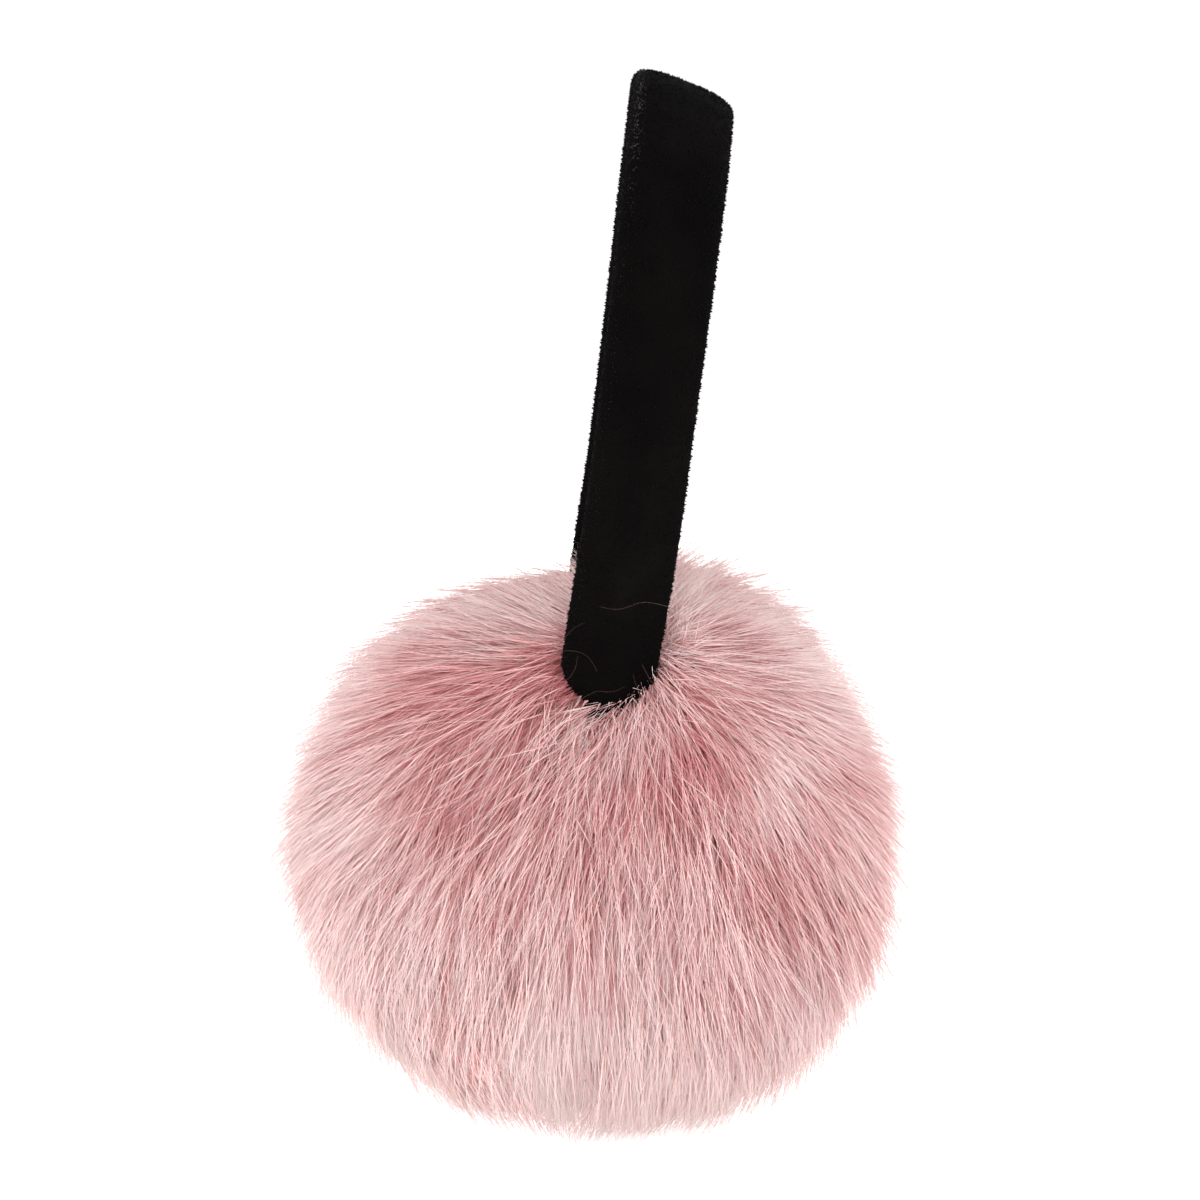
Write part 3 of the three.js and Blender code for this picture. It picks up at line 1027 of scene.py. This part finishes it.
@dataclass(frozen=True)
class FurCup:
    """One cup's fur: the matted ball under it and its layers of hair.

    Attributes:
        side: The cup's side.
        seed: Where the cup's own chance starts.
        finish: The hairs' material.
        shape: The outline of the fur.
        band: The headband whose foot stands in the fur.
        bed: How the fur lies round that foot.
        combing: How the hairs follow their clump and tuft.
        tone_and_painted_light: Where the fur is paler or deeper: its own tone, with painted light
            and shade.
        tuft_style: How the broad tufts differ.
        cup_offset: From the middle of the head to the cup's centre.
        ball_depth: How far inside the outline the matted ball lies.
        floor_gap: How far over the floor the lowest hairs lie.
        outer_from: How far out from the centre a tip counts as on the outer side.
        hair_samples: The places along a hair that are looked at beside the headband.
        coats: The layers of hair, from the inside out.
    """

    side: Side
    seed: int
    finish: bpy.types.Material
    shape: FurShape = FurShape()
    band: Headband = Headband()
    bed: FootBed = FootBed()
    combing: Combing = Combing()
    tone_and_painted_light: ToneAndPaintedLight = ToneAndPaintedLight()
    tuft_style: TuftStyle = TuftStyle()
    cup_offset: float = 52 * MM
    ball_depth: float = 10 * MM
    floor_gap: float = 0.15 * MM
    outer_from: float = 6 * MM
    hair_samples: int = 5
    coats: tuple[CoatStyle, ...] = (
        CoatStyle(
            coat=Coat.UNDERFUR,
            clumps=2200,
            hairs=10,
            length=20 * MM,
            root_depth=14 * MM,
            tip_depth=(2.5 * MM, 8.0 * MM),
            spread=3.0 * MM,
            gather=(0.8, 1.2),
            stray=1.0 * MM,
            width=1.1 * MM,
            tone=(0.1, 0.45),
        ),
        CoatStyle(
            coat=Coat.GUARD_HAIR,
            clumps=5000,
            hairs=12,
            length=27 * MM,
            root_depth=11.5 * MM,
            tip_depth=(-0.5 * MM, 6.5 * MM),
            spread=2.4 * MM,
            gather=(0.45, 1.0),
            stray=1.3 * MM,
            width=0.44 * MM,
            tone=(0.08, 0.86),
        ),
        CoatStyle(
            coat=Coat.WISPS,
            clumps=8000,
            hairs=2,
            length=24 * MM,
            root_depth=9 * MM,
            tip_depth=(-8.5 * MM, 1.5 * MM),
            spread=3.0 * MM,
            gather=(1.0, 1.6),
            stray=4.2 * MM,
            width=0.3 * MM,
            tone=(0.8, 1.2),
        ),
    )

    @property
    def label(self) -> str:
        """The cup's side as a word."""
        return self.side.name.lower()

    @property
    def node(self) -> str:
        """The solid that the fur stands for."""
        return f"fur_cup_{self.label}"

    def place(self, points: np.ndarray) -> np.ndarray:
        """Moves points from the cup's own frame to where the cup stands."""
        x, y, z = np.moveaxis(points, -1, 0)
        across = self.side.value * (x + self.cup_offset)
        return np.stack([across, y, z + self.shape.floor_drop], axis=-1)

    def foot_middle(self, height: np.ndarray | float) -> np.ndarray | float:
        """Finds how far back the middle of the leg or the foot is at a height."""
        return height * math.sin(self.band.lean) - self.band.setback - self.band.foot_forward

    def foot_end(self, back: np.ndarray) -> np.ndarray:
        """Finds how high the rounded end of the foot is, from its middle to its sides.

        Args:
            back: How far back the places are.

        Returns:
            A height over the cup's centre for each place.
        """
        band = self.band
        middle = self.foot_middle(band.foot_height)
        aside = np.clip(2 * np.abs(back - middle) / band.foot_width, 0.0, 1.0)
        left = (1.0 - aside**band.foot_sharpness) ** (1.0 / band.foot_sharpness)
        return band.foot_height + band.foot_rounding * (1.0 - left)

    def settle(self, points: np.ndarray) -> np.ndarray:
        """Beds hair round the foot of the band and flattens it on the floor.

        Args:
            points: Points of the hair, in the cup's own frame.

        Returns:
            The moved points.
        """
        bed = self.bed
        x, y, z = (part.copy() for part in np.moveaxis(points, -1, 0))
        deep = self.band.foot_offset - self.band.thickness / 2 - bed.depth
        beside = 1.0 - smooth_step(np.abs(y - self.foot_middle(z)), *bed.beside)
        above = smooth_step(z - self.foot_end(y), 0.0, bed.rise)
        x = np.where(x > deep, x + (deep - x) * beside * above, x)
        aside = y - bed.part_back
        fade_below, fade_above = bed.part_fade
        open_at = smooth_step(z, bed.part_low - fade_below, bed.part_low + fade_above)
        gap = open_at * np.exp(-((aside / bed.part_width) ** 2)) * (x > 0)
        y += np.sign(aside) * bed.part_push * gap
        x -= bed.part_depth * gap
        z = np.maximum(z, -self.shape.floor_drop + self.floor_gap)
        return np.stack([x, y, z], axis=-1)

    def clear_of_foot(self, points: np.ndarray, chance: np.random.Generator) -> np.ndarray:
        """Lets the hairs that hang below the foot of the band grow from under its end.

        Args:
            points: Rows of hair points, in the cup's own frame.
            chance: The seeded source of chance.

        Returns:
            The moved points.
        """
        end = self.foot_end(points[:, 0, 1]) + chance.uniform(*self.bed.fray, len(points))
        tip = points[:, -1]
        near = np.abs(tip[:, 1] - self.foot_middle(end)) < self.bed.hang_aside
        hangs = (tip[:, 0] > 0) & (tip[:, 2] < end) & near
        moved = points.copy()
        lowered = np.minimum(points[..., 2], end[:, None])
        moved[..., 2] = np.where(hangs[:, None], lowered, points[..., 2])
        return moved

    def clear_of_band(self, points: np.ndarray) -> np.ndarray:
        """Finds the hairs that don't run through the foot of the band.

        Args:
            points: Rows of hair points, in the cup's own frame.

        Returns:
            A mask of the hairs to keep.
        """
        bed = self.bed
        share = np.linspace(0.0, 1.0, self.hair_samples)[None, None, :, None]
        fine = points[:, :-1, None, :] * (1 - share) + points[:, 1:, None, :] * share
        x, y, z = np.moveaxis(fine, -1, 0)
        margin = bed.clear_aside + bed.clear_more * smooth_step(z, *bed.more_between)
        beside = np.abs(y - self.foot_middle(z)) < self.band.foot_width / 2 + margin
        above = z > self.foot_end(y) + bed.over_end
        inner = self.band.foot_offset - self.band.thickness / 2 - bed.clear_in
        return ~(beside & above & (x > inner)).any(axis=(1, 2))

    def clear_of_part(self, points: np.ndarray, chance: np.random.Generator) -> np.ndarray:
        """Finds the hairs to keep where some would lie across the parting below the foot.

        Args:
            points: Rows of hair points, in the cup's own frame.
            chance: The seeded source of chance.

        Returns:
            A mask of the hairs to keep.
        """
        bed = self.bed
        root, tip = points[:, 0], points[:, -1]
        run = tip[:, 1] - root[:, 1]
        share = (bed.part_back - root[:, 1]) / np.where(np.abs(run) < 1e-6, 1e-6, run)
        crosses = (share > 0) & (share < 1)
        height = root[:, 2] + (tip[:, 2] - root[:, 2]) * share
        beside = (height > bed.part_low) & (height < self.band.foot_height)
        thinned = chance.random(len(points)) < bed.part_share
        return ~(crosses & beside & thinned & (tip[:, 0] > 0))

    def comb_out(self, style: CoatStyle, tufts: Tufts, chance: np.random.Generator) -> Strands:
        """Combs one layer of hair out of the ball.

        Args:
            style: How the layer is cut and combed.
            tufts: The broad tufts that the layers share.
            chance: The seeded source of chance.

        Returns:
            The hairs, in the cup's own frame.
        """
        shape, combing = self.shape, self.combing
        tips = shape.spread(style.clumps, chance)
        tuft = tufts.nearest(tips)
        owner = np.repeat(np.arange(len(tips)), style.hairs)
        count = len(owner)
        tip_reach = shape.reach(tips)
        normals = shape.normal(tips)
        flow = shape.comb(tips * tip_reach[:, None], normals)
        far = np.linalg.norm(flow, axis=1) / (combing.whorl_reach * style.length)
        run = style.length * (1.0 - combing.whorl_share * np.exp(-far))
        lean = tufts.leans[tuft] + chance.normal(scale=combing.lean, size=len(tips))
        axes = unit(np.cross(tips, turn_about(unit(flow), normals, lean)))
        pull = (tufts.middles[tuft] - tips) * tip_reach[:, None] * combing.pull
        disc = chance.normal(size=(count, 2))
        out = np.linalg.norm(disc, axis=1, keepdims=True)
        disc /= np.maximum(1.0, out / combing.clump_limit)
        gather = chance.uniform(*style.gather, len(tips))[owner, None]
        own_run = run[owner] * chance.uniform(*combing.run, count)
        shift = chance.uniform(*combing.shift, count) * own_run
        tip_depth = chance.uniform(*style.tip_depth, count) - tufts.heights[tuft][owner]
        wander = chance.normal(scale=style.stray, size=(count, 2))
        rows = []
        for share in (0.0, 1.0):
            turned = ((share - 1.0) * own_run + shift) / tip_reach[owner]
            outward = turn_about(tips[owner], axes[owner], turned)
            aside = unit(np.cross(shape.normal(outward), axes[owner]))
            offset = disc * style.spread * (1.0 + (gather - 1.0) * share) + wander * share
            point = (
                outward * shape.reach(outward)[:, None]
                + axes[owner] * offset[:, :1]
                + aside * offset[:, 1:] * combing.flatness
                + pull[owner] * share
            )
            outward = unit(point)
            tip = tip_depth - shape.swell(outward)
            inward = style.root_depth + (tip - style.root_depth) * share
            rows.append(outward * shape.reach(outward, inward)[:, None])
        points = self.settle(self.clear_of_foot(np.stack(rows, axis=1), chance))
        clump_tone = chance.uniform(-combing.tone, combing.tone, len(tips)) + tufts.tones[tuft]
        # Painted light at the rim and low down, and painted light and shade in patches round the
        # foot, on top of the fur's own tone.
        clump_tone += self.tone_and_painted_light.tone(tips, tips * tip_reach[:, None])
        tone = chance.uniform(*style.tone, count) + clump_tone[owner]
        widths = style.width * chance.uniform(*combing.width, count)
        strands = Strands(points, widths, np.clip(tone, 0.0, 1.0))
        return strands.kept(self.clear_of_band(points) & self.clear_of_part(points, chance))

    def build_ball(self) -> bpy.types.Object:
        """Shapes the matted mass of fur under the hair.

        Returns:
            The ball, bedded round the foot and flat on the floor.
        """
        work = bmesh.new()
        bmesh.ops.create_icosphere(work, subdivisions=5, radius=1.0)
        outward = unit(np.array([vertex.co for vertex in work.verts]))
        points = outward * self.shape.reach(outward, self.ball_depth)[:, None]
        points = self.place(self.settle(points))
        for vertex, point in zip(work.verts, points):
            vertex.co = point
        if self.side is Side.RIGHT:
            bmesh.ops.reverse_faces(work, faces=work.faces)
        for face in work.faces:
            face.smooth = True
        mesh = bpy.data.meshes.new(f"fur_{self.label}_ball")
        work.to_mesh(mesh)
        work.free()
        matted = ClothFinish(
            name=f"matted_fur_{self.label}",
            dark=(0.72, 0.20, 0.22),
            light=(0.82, 0.32, 0.33),
            mottle_scale=220.0,
            grain_scale=500.0,
            bump=0.8,
            bump_depth=1.0 * MM,
            roughness=0.9,
            sheen=0.1,
            gloss=0.1,
        )
        mesh.materials.append(matted.build())
        ball = add_object(mesh.name, mesh)
        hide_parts(self.node)
        return ball

    def build_coats(self) -> list[bpy.types.Object]:
        """Builds each layer of hair as two pieces, on the outer and the inner side.

        Returns:
            The pieces.
        """
        chance = np.random.default_rng(self.seed)
        tuft_style = self.tuft_style
        tufts = tuft_style.scatter(self.shape.spread(tuft_style.count, chance), chance)
        pieces = []
        for style in self.coats:
            hairs = self.comb_out(style, tufts, chance)
            outer = hairs.points[:, -1, 0] > self.outer_from
            halves = {"outer": outer, "inner": ~outer}
            for half, mask in halves.items():
                part = hairs.kept(mask)
                placed = Strands(self.place(part.points), part.widths, part.tones)
                name = f"fur_{self.label}_{style.coat.value}_{half}"
                piece = add_object(name, placed.mesh(name, self.finish))
                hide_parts(self.node)
                pieces.append(piece)
        return pieces


@dataclass(frozen=True)
class StrayHairs:
    """Single hairs that lie across the foot of the band.

    Attributes:
        finish: The hairs' material.
        lines: The places that each hair passes, as millimetres back and up.
        face: How far the band's outer face is from the middle of the head, at the foot.
        slope: How much farther out the face is for each millimetre up.
        foot: The height of the band's foot.
        width: A hair's width at its root.
        tone: A hair's tone.
        rows: The points along each hair.
        smoothings: How many times its corners are smoothed.
    """

    finish: bpy.types.Material
    lines: tuple[tuple[tuple[float, float], ...], ...] = (
        ((17, 113), (15, 114), (12, 114.5), (10, 115), (7.6, 113.7), (5, 112.9), (1, 113.9)),
        ((-8, 104), (-6, 106.8), (-4, 109.2), (-1.4, 110.6)),
        ((-9, 104), (-6.9, 104.8), (-3.4, 104.8), (-1.4, 104.2), (0.2, 102.4), (1.2, 99.9)),
        ((-2, 95), (0.8, 96.7), (2.8, 96.3), (5.2, 96.5), (6, 97.5), (7, 97.3)),
        ((14, 97), (11.8, 98.5), (10.6, 101), (9.9, 102.2)),
        ((13, 93), (10, 95.5), (8.6, 98.2), (8.2, 100.5)),
        ((-7, 98), (-4.6, 99), (-3.2, 101.5), (-2.9, 104)),
    )
    face: float = 81.7 * MM
    slope: float = 0.075
    foot: float = 92.5 * MM
    width: float = 0.06 * MM
    tone: float = 0.3
    rows: int = 14
    smoothings: int = 2

    def build(self, side: Side) -> bpy.types.Object:
        """Lays the hairs over one foot.

        Args:
            side: The cup's side.

        Returns:
            The piece.
        """
        hairs = []
        for line in self.lines:
            knots = np.array(line) * MM
            gone = way_along(knots)
            even = np.linspace(0.0, gone[-1], self.rows)
            y, z = (np.interp(even, gone, knots[:, part]) for part in (0, 1))
            for _ in range(self.smoothings):
                for part in (y, z):
                    part[1:-1] = (part[:-2] + 2 * part[1:-1] + part[2:]) / 4
            x = self.face + self.slope * (z - self.foot)
            hairs.append(np.stack([side.value * x, y, z], axis=1))
        count = len(hairs)
        widths, tones = np.full(count, self.width), np.full(count, self.tone)
        strands = Strands(np.stack(hairs), widths, tones)
        name = f"fur_{side.name.lower()}_stray_hairs"
        piece = add_object(name, strands.mesh(name, self.finish))
        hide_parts(f"fur_cup_{side.name.lower()}")
        return piece


@dataclass(frozen=True)
class Studio:
    """The pale floor, the soft lights and the camera.

    Attributes:
        distance: From the camera to what it looks at.
        elevation: How far the camera looks down.
        target: What it looks at.
        lens: The focal length in millimetres, on a sensor 36 mm wide.
        floor_size: Half the floor's side.
        floor_glow: The strength of the light that the pale floor gives, as a light table does.
        ambient: The strength of the white room light.
        lamps: The soft lamps.
    """

    distance: float = 1.3
    elevation: float = math.radians(5)
    target: tuple[float, float, float] = (0.0, 1.6 * MM, 107.8 * MM)
    lens: float = 181.5
    floor_size: float = 1.6
    floor_glow: float = 0.95
    ambient: float = 1.05
    lamps: tuple[Lamp, ...] = (
        Lamp("back_key", place=(1.1, 0.8, 1.1), power=2.6, size=0.7),
        Lamp("front_key", place=(1.1, -0.8, 1.1), power=1.6, size=0.7),
        Lamp("left_front_fill", place=(0.75, -0.45, 0.02), power=2.4, size=0.4),
        Lamp("left_back_fill", place=(0.75, 0.45, 0.02), power=2.4, size=0.4),
        Lamp("right_front_fill", place=(-0.75, -0.45, 0.02), power=2.4, size=0.4),
        Lamp("right_back_fill", place=(-0.75, 0.45, 0.02), power=2.4, size=0.4),
    )

    def build_floor(self) -> bpy.types.Object:
        """Lays the pale floor."""
        work = bmesh.new()
        bmesh.ops.create_grid(work, x_segments=1, y_segments=1, size=self.floor_size)
        mesh = bpy.data.meshes.new("floor")
        work.to_mesh(mesh)
        work.free()
        paper = bpy.data.materials.new("paper")
        paper.use_nodes = True
        shader = paper.node_tree.nodes["Principled BSDF"]
        shader.inputs["Base Color"].default_value = (0.97, 0.97, 0.97, 1.0)
        shader.inputs["Roughness"].default_value = 1.0
        shader.inputs["Specular IOR Level"].default_value = 0.0
        shader.inputs["Emission Color"].default_value = (1.0, 1.0, 1.0, 1.0)
        shader.inputs["Emission Strength"].default_value = self.floor_glow
        mesh.materials.append(paper)
        floor = bpy.data.objects.new("floor", mesh)
        bpy.context.scene.collection.objects.link(floor)
        return floor

    def build_light(self) -> None:
        """Fills the room with white light, with two soft lamps above and four near the floor."""
        scene = bpy.context.scene
        world = bpy.data.worlds.new("room")
        world.use_nodes = True
        sky = world.node_tree.nodes["Background"]
        sky.inputs["Color"].default_value = (1.0, 1.0, 1.0, 1.0)
        sky.inputs["Strength"].default_value = self.ambient
        scene.world = world
        for lamp in self.lamps:
            light = bpy.data.lights.new(lamp.name, "AREA")
            light.energy = lamp.power
            light.size = lamp.size
            holder = bpy.data.objects.new(lamp.name, light)
            holder.location = lamp.place
            aim = Vector(self.target) - Vector(lamp.place)
            holder.rotation_euler = aim.to_track_quat("-Z", "Y").to_euler()
            scene.collection.objects.link(holder)

    def build_camera(self) -> bpy.types.Object:
        """Sets the camera at the photograph's side view, a little above the floor."""
        scene = bpy.context.scene
        camera = bpy.data.cameras.new("camera")
        camera.lens = self.lens
        camera.sensor_width = 36.0
        camera.clip_end = 20.0
        viewer = bpy.data.objects.new("camera", camera)
        target = Vector(self.target)
        away = Vector((math.cos(self.elevation), 0.0, math.sin(self.elevation)))
        viewer.location = target + away * self.distance
        viewer.rotation_euler = (-away).to_track_quat("-Z", "Y").to_euler()
        scene.collection.objects.link(viewer)
        scene.camera = viewer
        scene.view_settings.view_transform = "Standard"
        return viewer


@dataclass
class Earmuffs:
    """The whole piece: the headband and both cups.

    Attributes:
        band: The headband.
        fur: The finish of the hairs.
        stray: The finish of the loose hairs on the foot.
        seeds: Where the chance of each cup starts.
        brushed_down: How much lower the far cup's top lies, out of sight behind the near one.
    """

    band: Headband = field(default_factory=Headband)
    fur: StrandFinish = StrandFinish(
        name="fur",
        deep_root=(0.74, 0.24, 0.26),
        deep_tip=(0.58, 0.19, 0.205),
        pale_root=(0.92, 0.54, 0.51),
        pale_tip=(0.96, 0.86, 0.84),
    )
    stray: StrandFinish = StrandFinish(
        name="stray_hair",
        deep_root=(0.13, 0.075, 0.07),
        deep_tip=(0.10, 0.06, 0.055),
        pale_root=(0.16, 0.10, 0.095),
        pale_tip=(0.13, 0.08, 0.075),
    )
    seeds: tuple[int, int] = (11, 23)
    brushed_down: Swell = Swell(angle=106, width=32, height=-11.0 * MM)

    def build(self) -> list[bpy.types.Object]:
        """Builds every piece.

        Returns:
            The pieces, in the order they were made.
        """
        sections = self.band.sections()
        pieces = [self.band.build_body(sections), self.band.build_pile(sections)]
        finish = self.fur.build()
        near = FurShape()
        far = replace(near, swells=(*near.swells, self.brushed_down))
        for side, seed, shape in zip(Side, self.seeds, (near, far)):
            cup = FurCup(side=side, seed=seed, finish=finish, shape=shape, band=self.band)
            pieces.append(cup.build_ball())
            pieces.extend(cup.build_coats())
            pieces.append(StrayHairs(finish=self.stray.build()).build(side))
        return pieces


def main() -> None:
    """Builds the studio and the earmuffs, and notes the number of faces of each piece."""
    logging.basicConfig(level=logging.INFO)
    studio = Studio()
    studio.build_camera()
    studio.build_floor()
    studio.build_light()
    for piece in Earmuffs().build():
        log.info("%s: %d faces", piece.name, len(piece.data.polygons))


if __name__ == "__main__":
    main()
